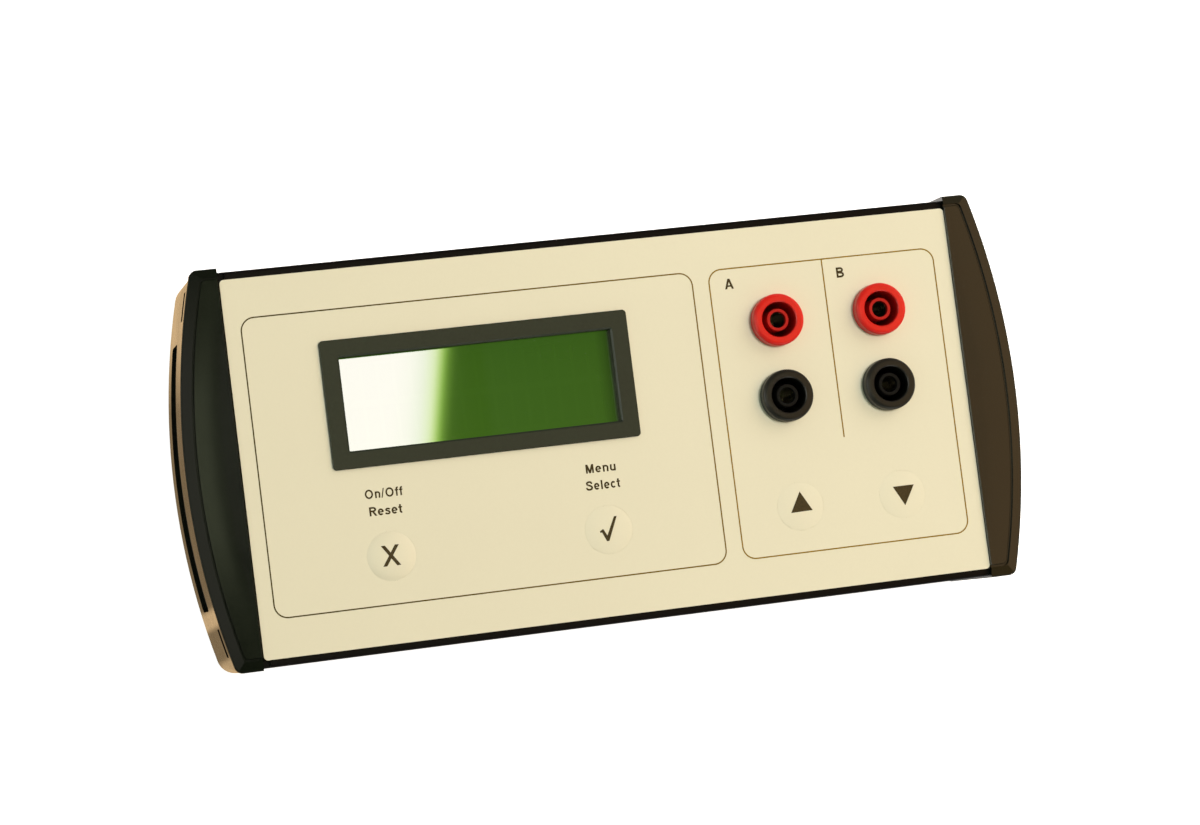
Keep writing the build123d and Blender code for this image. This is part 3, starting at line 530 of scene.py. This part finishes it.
H2 = SW / 2
LETTERS = {
    "O": (1.06, [band(arc(0.53, 0.50, 0.47 - H2, 0.52 - H2, 0, 345, 23), closed=True)]),
    "n": (0.70, [box(0.06, 0.06 + SW, 0, XH), band([(0.06 + H2, 0.36)] + arc(0.35, 0.46, 0.285 - H2 + 0.04, XH - 0.46 - H2 + 0.005, 150, 0, 9) + [(0.64 - H2 - 0.005, 0.0)])]),
    "/": (0.34, [[[(-0.02, -0.03), (0.11, -0.03), (0.36, 1.03), (0.23, 1.03)]]]),
    "f": (0.40, [band([(0.10 + H2, 0.0)] + arc(0.10 + H2 + 0.16, 0.80, 0.16, 1.01 - H2 - 0.80, 180, 80, 8)), box(0.0, 0.40, XH - 0.15, XH)]),
    "R": (0.84, [box(0.07, 0.07 + SW, 0, 1), band([(0.10, 1 - H2)] + arc(0.47, 0.72, 0.235, 0.28 - H2, 90, -90, 12) + [(0.10, 0.44 + H2)], SW),
                 [[(0.36, 0.46), (0.58, 0.46), (0.86, 0.0), (0.63, 0.0)]]]),
    "e": (0.66, [band(arc(0.325, XH / 2, 0.315 - H2, XH / 2 + 0.012 - H2, -4, 318, 22)), box(0.10, 0.58, XH / 2 - 0.065, XH / 2 + 0.065)]),
    "s": (0.60, [band([(0.53, 0.545), (0.44, 0.625), (0.30, 0.650), (0.185, 0.620), (0.130, 0.540), (0.185, 0.450), (0.30, 0.405),
                       (0.43, 0.355), (0.495, 0.265), (0.485, 0.165), (0.40, 0.100), (0.28, 0.083), (0.145, 0.115), (0.065, 0.205)], 0.17)]),
    "t": (0.42, [band([(0.10 + H2, 0.97), (0.10 + H2, 0.22)] + arc(0.10 + H2 + 0.14, 0.20, 0.14, 0.20 - H2 + 0.01, 180, 280, 7)), box(0.0, 0.40, XH - 0.15, XH)]),
    "M": (0.98, [box(0.07, 0.07 + SW, 0, 1), box(0.91 - SW, 0.91, 0, 1),
                 [[(0.07, 1.0), (0.29, 1.0), (0.565, 0.16), (0.49, 0.0), (0.40, 0.0)]],
                 [[(0.91, 1.0), (0.69, 1.0), (0.415, 0.16), (0.49, 0.0), (0.58, 0.0)]]]),
    "u": (0.70, [box(0.64 - SW, 0.64, 0, XH), band([(0.06 + H2 + 0.005, XH)] + arc(0.35, 0.275, 0.285 - H2 + 0.04, 0.275 - H2 + 0.005, 180, 330, 9) + [(0.64 - H2, 0.36)])]),
    "S": (0.84, [band([(0.70, 0.70), (0.66, 0.82), (0.56, 0.90), (0.40, 0.925), (0.24, 0.89), (0.16, 0.79), (0.175, 0.67), (0.28, 0.585),
                       (0.42, 0.535), (0.58, 0.475), (0.69, 0.385), (0.71, 0.25), (0.635, 0.135), (0.49, 0.083), (0.34, 0.080),
                       (0.20, 0.125), (0.125, 0.215), (0.105, 0.325)])]),
    "l": (0.32, [box(0.07, 0.07 + SW, 0, 1)]),
    "c": (0.62, [band(arc(0.325, XH / 2, 0.305 - H2, XH / 2 + 0.012 - H2, 42, 318, 20))]),
    "A": (0.86, [[[(0.33, 1.0), (0.54, 1.0), (0.21, 0.0), (0.0, 0.0)]], [[(0.54, 1.0), (0.33, 1.0), (0.66, 0.0), (0.87, 0.0)]],
                 box(0.20, 0.67, 0.21, 0.21 + 0.16)]),
    "B": (0.82, [box(0.07, 0.07 + SW, 0, 1), band([(0.10, 1 - H2)] + arc(0.46, 0.735, 0.20, 0.265 - H2, 90, -90, 10) + [(0.10, 0.47 + H2)]),
                 band([(0.10, 0.435 + H2)] + arc(0.48, 0.28, 0.235, 0.28 - H2, 90, -90, 12) + [(0.10, H2)])]),
}
GAP = 0.085              # extra space between letters


def lettering(name, text, left, right, base, cap):
    """Plain lettering fitted to a width, with capitals cap mm high, as one object of closed strokes."""
    x, pieces = 0.0, []
    for ch in text:
        adv, strokes = LETTERS[ch]
        for st in strokes:
            pieces.append([[(x + px, py) for px, py in lp] for lp in st])
        x += adv + GAP
    xs = [p[0] for pc in pieces for lp in pc for p in lp]
    x0, x1 = min(xs), max(xs)
    k = (right - left) / (x1 - x0)
    whole = bmesh.new()
    for i, pc in enumerate(pieces):
        bm = prism([[(left + (px - x0) * k, base + py * cap) for px, py in lp] for lp in pc])
        ret = bmesh.ops.extrude_face_region(bm, geom=bm.faces[:])
        tops = {g for g in ret["geom"] if isinstance(g, bmesh.types.BMVert)}
        lift = 0.0012 * (i % 4)
        for v in bm.verts:
            v.co.z = (Z_FILM + (PRINT_HI - lift if v in tops else PRINT_LO - lift)) * MM
        bmesh.ops.recalc_face_normals(bm, faces=bm.faces)
        tmp = bpy.data.meshes.new("tmp")
        bm.to_mesh(tmp)
        bm.free()
        whole.from_mesh(tmp)
        bpy.data.meshes.remove(tmp)
    out = bpy.data.meshes.new(name)
    whole.to_mesh(out)
    whole.free()
    out.materials.append(M["ink"])
    o = bpy.data.objects.new(name, out)
    bpy.context.scene.collection.objects.link(o)
    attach(o, "case")
    return o


lettering("print_on_off", "On/Off", -63.3, -54.0, -10.56, 2.2)
lettering("print_reset", "Reset", -62.7, -54.6, -14.8, 2.2)
lettering("print_menu", "Menu", -8.2, -0.6, -10.6, 2.2)
lettering("print_select", "Select", -8.7, 0.0, -14.8, 2.25)
lettering("print_a", "A", 32.9, 35.2, 31.0, 2.6)
lettering("print_b", "B", 62.2, 64.2, 31.0, 2.6)


# glyphs on the embossed keys, laid on each dome's own surface
def dome_height(node):
    o = N[node]
    tree = BVHTree.FromPolygons([v.co[:] for v in o.data.vertices], [p.vertices[:] for p in o.data.polygons])

    def z(x, y):
        hit = tree.ray_cast(Vector((x * MM, y * MM, 0.05)), Vector((0, 0, -1)))
        return hit[0].z / MM if hit[0] is not None else Z_FILM
    return z


def stroke(a, b, w):
    """The ends a and b of a bar and its width w, returned as they are."""
    return a, b, w


def diag(x_top, x_bot, y_top, y_bot, w):
    return [(x_top - w / 2, y_top), (x_bot - w / 2, y_bot), (x_bot + w / 2, y_bot), (x_top + w / 2, y_top)]


def glyph(name, loops, key, body):
    z = dome_height("key_dome_" + key)
    parts = []
    for i, lp in enumerate(loops):
        xs, ys = [p[0] for p in lp], [p[1] for p in lp]
        parts.append(slab(name if i == 0 else f"{name}_{i}", [lp], body, z,
                          cut=[(0, 0.6, min(xs), max(xs)), (1, 0.6, min(ys), max(ys))]))
    return parts


def cross_loop(cx, cy, w, h, t):
    """The letter X as one closed outline; t is the width of a bar along X."""
    hw, hh = w / 2, h / 2
    # bars from (-hw..-hw+t) at the top to (hw-t..hw) at the bottom, and its mirror
    k = (w - t) / h                      # x shift per y of a bar's side
    yc = (t / 2) / k                     # half height of the notch at the middle
    xc = t / 2 + 0.0
    return [(cx - hw, cy + hh), (cx - hw + t, cy + hh), (cx, cy + yc), (cx + hw - t, cy + hh), (cx + hw, cy + hh),
            (cx + xc, cy), (cx + hw, cy - hh), (cx + hw - t, cy - hh), (cx, cy - yc), (cx - hw + t, cy - hh),
            (cx - hw, cy - hh), (cx - xc, cy)]


glyph("print_cross", [cross_loop(-58.75, -24.75, 4.45, 5.05, 1.0)], "reset", "key_reset")
glyph("print_tick", [[(-6.65, -25.05), (-5.75, -24.55), (-4.88, -26.25), (-2.65, -21.75), (-1.95, -21.75),
                      (-4.55, -27.65), (-5.15, -27.65), (-6.15, -25.35), (-6.50, -25.50)]], "select", "key_select")
glyph("print_up", [[(42.42, -26.25), (48.06, -26.15), (45.28, -21.15)]], "up", "key_up")
glyph("print_down", [[(69.58, -22.80), (72.25, -27.75), (75.16, -22.80)]], "down", "key_down")

# -------------------------------------------------------------------- stage
def stage_plane(name, x0, x1, y0, y1, z, mat, flip=False):
    me = bpy.data.meshes.new(name)
    f = (0, 1, 2, 3) if not flip else (3, 2, 1, 0)
    me.from_pydata([(x0, y0, z), (x1, y0, z), (x1, y1, z), (x0, y1, z)], [], [f])
    me.materials.append(mat)
    o = bpy.data.objects.new(name, me)
    bpy.context.scene.collection.objects.link(o)
    return o


fl = Mat("floor_paper", (0.86, 0.855, 0.84), 0.9, spec=0.0)
fn = fl.noise(18.0, 3.0)
fl.color(fl.mix(fl.ramp(fn, 0.3, 0.7, 0.0, 1.0), (0.85, 0.845, 0.83), (0.87, 0.865, 0.85)))
fl.p.inputs["Emission Color"].default_value = (1.0, 1.0, 1.0, 1.0)
fl.p.inputs["Emission Strength"].default_value = 0.95
stage_plane("floor", -4, 4, -4, 4, 0.0, fl.m)


def emitter(name, colour, strength):
    m = bpy.data.materials.new(name)
    m.use_nodes = True
    nt = m.node_tree
    nt.nodes.clear()
    out = nt.nodes.new("ShaderNodeOutputMaterial")
    em = nt.nodes.new("ShaderNodeEmission")
    em.inputs["Color"].default_value = (*colour, 1)
    em.inputs["Strength"].default_value = strength
    nt.links.new(em.outputs["Emission"], out.inputs["Surface"])
    return m, nt, em


# a small bright window far overhead: what the display glass mirrors on its left side
H = 3.0
wm, wnt, wem = emitter("window_card", (1.0, 0.995, 0.95), 1.0)
tc = wnt.nodes.new("ShaderNodeTexCoord")
sx = wnt.nodes.new("ShaderNodeSeparateXYZ")
wnt.links.new(tc.outputs["Object"], sx.inputs["Vector"])
mr = wnt.nodes.new("ShaderNodeMapRange")
mr.inputs["From Min"].default_value = 0.455
mr.inputs["From Max"].default_value = 0.530
# the edge leans: its place shifts with Y
lean = wnt.nodes.new("ShaderNodeMath")
lean.operation = "MULTIPLY_ADD"
wnt.links.new(sx.outputs["Y"], lean.inputs[0])
lean.inputs[1].default_value = -0.20
lean.inputs[2].default_value = 0.20 * 0.22
edge = wnt.nodes.new("ShaderNodeMath")
edge.operation = "ADD"
wnt.links.new(sx.outputs["X"], edge.inputs[0])
wnt.links.new(lean.outputs[0], edge.inputs[1])
wnt.links.new(edge.outputs[0], mr.inputs["Value"])
# its right edge is seen through leaves: it fades and turns yellow-green
cr = wnt.nodes.new("ShaderNodeValToRGB")
cr.color_ramp.interpolation = "LINEAR"
stops = [(0.455, (22.5, 20.4, 20.4)), (0.475, (21.6, 20.0, 19.5)), (0.490, (19.1, 18.6, 17.1)), (0.5025, (16.8, 18.0, 12.0)),
         (0.5093, (10.6, 13.8, 4.2)), (0.5150, (3.6, 7.5, 0.5)), (0.5190, (1.3, 2.5, 0.22)), (0.5285, (0.0, 0.0, 0.0))]
while len(cr.color_ramp.elements) < len(stops):
    cr.color_ramp.elements.new(0.5)
for el, (xx, rgb) in zip(cr.color_ramp.elements, stops):
    el.position = (xx - 0.455) / 0.075
for el, (xx, rgb) in zip(cr.color_ramp.elements, stops):
    el.color = (rgb[0] / 25, rgb[1] / 25, rgb[2] / 25, 1.0)
wnt.links.new(mr.outputs["Result"], cr.inputs["Fac"])
wnt.links.new(cr.outputs["Color"], wem.inputs["Color"])
wem.inputs["Strength"].default_value = 25.0
card = stage_plane("window_card", 0.378, 0.57, 0.092, 0.305, 0.030 + H, wm, flip=True)
card.visible_camera = card.visible_diffuse = card.visible_shadow = card.visible_transmission = False
card.visible_volume_scatter = False

# warm table top beside the case, mirrored only by its left side wall
tm, tnt, tem = emitter("table_card", (1.0, 0.68, 0.355), 1.38)
ttc = tnt.nodes.new("ShaderNodeTexCoord")
tsx = tnt.nodes.new("ShaderNodeSeparateXYZ")
tnt.links.new(ttc.outputs["Object"], tsx.inputs["Vector"])
tmr = tnt.nodes.new("ShaderNodeMapRange")
tmr.inputs["From Min"].default_value = -0.060
tmr.inputs["From Max"].default_value = 0.060
tnt.links.new(tsx.outputs["Y"], tmr.inputs["Value"])
tcr = tnt.nodes.new("ShaderNodeValToRGB")
tcr.color_ramp.interpolation = "LINEAR"
spots = [(-0.060, 0.80), (-0.0475, 0.80), (-0.0455, 0.36), (-0.0385, 0.36), (-0.0370, 1.00), (-0.0340, 1.00), (-0.0325, 0.34),
         (0.018, 0.38), (0.036, 0.94), (0.060, 0.94)]
while len(tcr.color_ramp.elements) < len(spots):
    tcr.color_ramp.elements.new(0.5)
for el, (yy, k) in zip(tcr.color_ramp.elements, spots):
    el.position = (yy + 0.060) / 0.120
for el, (yy, k) in zip(tcr.color_ramp.elements, spots):
    el.color = (k, 0.68 * k, 0.355 * k, 1.0)
tnt.links.new(tmr.outputs["Result"], tcr.inputs["Fac"])
tnt.links.new(tcr.outputs["Color"], tem.inputs["Color"])
tab = stage_plane("table_card", -0.75, -0.094, -0.35, 0.45, 0.0006, tm)
tab.visible_camera = tab.visible_diffuse = tab.visible_shadow = tab.visible_transmission = False
tab.visible_volume_scatter = False

# low bright panes that only the small rounded edges mirror
for nm, quad, power in (("pane_left", [(-1.2, -0.45, 0.12), (-1.2, 0.60, 0.12), (-1.2, 0.60, 0.46), (-1.2, -0.45, 0.46)], 8.0),
                        ("pane_front", [(-0.10, -1.2, 0.12), (0.90, -1.2, 0.12), (0.90, -1.2, 0.46), (-0.10, -1.2, 0.46)], 4.0)):
    pm, pnt, pem = emitter(nm, (1.0, 1.0, 0.90), power)
    pme = bpy.data.meshes.new(nm)
    pme.from_pydata(quad, [], [(0, 1, 2, 3)])
    pme.materials.append(pm)
    pane = bpy.data.objects.new(nm, pme)
    bpy.context.scene.collection.objects.link(pane)
    pane.visible_camera = pane.visible_diffuse = pane.visible_shadow = pane.visible_transmission = False
    pane.visible_volume_scatter = False

# warm and grey-green parts of the ceiling, mirrored by the two end caps only
for nm, x0, x1, y0, y1, col, power in (("ceiling_right", 0.98, 6.5, -1.6, 1.4, (1.0, 0.62, 0.30), 1.85),
                                       ("ceiling_left", -0.95, 0.03, 0.055, 0.27, (0.92, 1.0, 0.64), 14.5),
                                       ("ceiling_far", -3.4, -0.95, -0.6, 0.8, (1.0, 0.93, 0.82), 3.0)):
    qm, qnt, qem = emitter(nm, col, power)
    q = stage_plane(nm, x0, x1, y0, y1, 0.030 + H, qm, flip=True)
    q.visible_camera = q.visible_diffuse = q.visible_shadow = q.visible_transmission = False
    q.visible_volume_scatter = False


def area(name, loc, target, size, size_y, power, colour):
    li = bpy.data.lights.new(name, "AREA")
    li.shape = "RECTANGLE"
    li.size, li.size_y = size, size_y
    li.energy = power
    li.color = colour
    o = bpy.data.objects.new(name, li)
    o.location = loc
    d = Vector(target) - Vector(loc)
    o.rotation_euler = d.to_track_quat("-Z", "Y").to_euler()
    bpy.context.scene.collection.objects.link(o)
    return o


# soft light from the right, and the window itself almost overhead
side = area("side_light", (0.55, 0.38, 0.50), (0.03, 0, 0.03), 0.55, 0.55, 1.9, (1.0, 0.955, 0.90))
side.visible_glossy = False
win = area("window_light", (0.34, 0.10, 1.53), (0.0, 0.0, 0.03), 0.32, 0.28, 13.4, (1.0, 0.945, 0.91))
win.visible_glossy = False

# a bright room with a dim ceiling; the ceiling is brown towards the right
world = bpy.data.worlds.new("studio")
bpy.context.scene.world = world
world.use_nodes = True
wn = world.node_tree
wn.nodes.clear()
wout = wn.nodes.new("ShaderNodeOutputWorld")
bg = wn.nodes.new("ShaderNodeBackground")
wn.links.new(bg.outputs["Background"], wout.inputs["Surface"])


def wnode(kind, **props):
    node = wn.nodes.new(kind)
    for key, val in props.items():
        setattr(node, key, val)
    return node


def wramp(sock, lo, hi, a=0.0, b=1.0):
    r = wnode("ShaderNodeMapRange", interpolation_type="SMOOTHSTEP")
    r.inputs["From Min"].default_value = lo
    r.inputs["From Max"].default_value = hi
    r.inputs["To Min"].default_value = a
    r.inputs["To Max"].default_value = b
    wn.links.new(sock, r.inputs["Value"])
    return r.outputs["Result"]


def wmix(fac, a, b):
    x = wnode("ShaderNodeMix", data_type="RGBA")
    wn.links.new(fac, x.inputs["Factor"])
    for v, i in ((a, 6), (b, 7)):
        if hasattr(v, "links"):
            wn.links.new(v, x.inputs[i])
        else:
            x.inputs[i].default_value = (*v, 1.0)
    return x.outputs[2]


def wdot(vec):
    d = wnode("ShaderNodeVectorMath", operation="DOT_PRODUCT")
    wn.links.new(wtc.outputs["Generated"], d.inputs[0])
    d.inputs[1].default_value = vec
    return d.outputs["Value"]


wtc = wnode("ShaderNodeTexCoord")
above = wdot((0.17, 0.04, 0.985))
along = wdot((1.0, 0.0, 0.0))
lit = wdot((0.72, 0.50, 0.48))
ceiling = wmix(wramp(along, 0.20, 0.40), (0.085, 0.12, 0.08), (1.08, 0.60, 0.16))
walls = wmix(wramp(lit, -0.2, 0.9), (0.30, 0.36, 0.33), (0.50, 0.48, 0.455))
bg.inputs["Strength"].default_value = 1.0
wn.links.new(wmix(wramp(above, 0.58, 0.82), walls, ceiling), bg.inputs["Color"])

# ------------------------------------------------------------------- camera
cam_data = bpy.data.cameras.new("camera")
cam_data.sensor_fit = "HORIZONTAL"
cam_data.sensor_width = 36.0
cam_data.lens = 96.0
cam_data.clip_start, cam_data.clip_end = 0.01, 20.0
cam = bpy.data.objects.new("camera", cam_data)
right = Vector((0.9672637864, -0.1246820022, 0.2210320469))
up = Vector((0.1087788564, 0.9906144290, 0.0827660157))
back = Vector((-0.2292769675, -0.0560129564, 0.9717482292))
mw = Matrix((right, up, back)).transposed().to_4x4()
mw.translation = Vector((-0.18341611, -0.04013327, 0.80041296))
cam.matrix_world = mw
bpy.context.scene.collection.objects.link(cam)
bpy.context.scene.camera = cam
bpy.context.scene.view_settings.view_transform = "Standard"
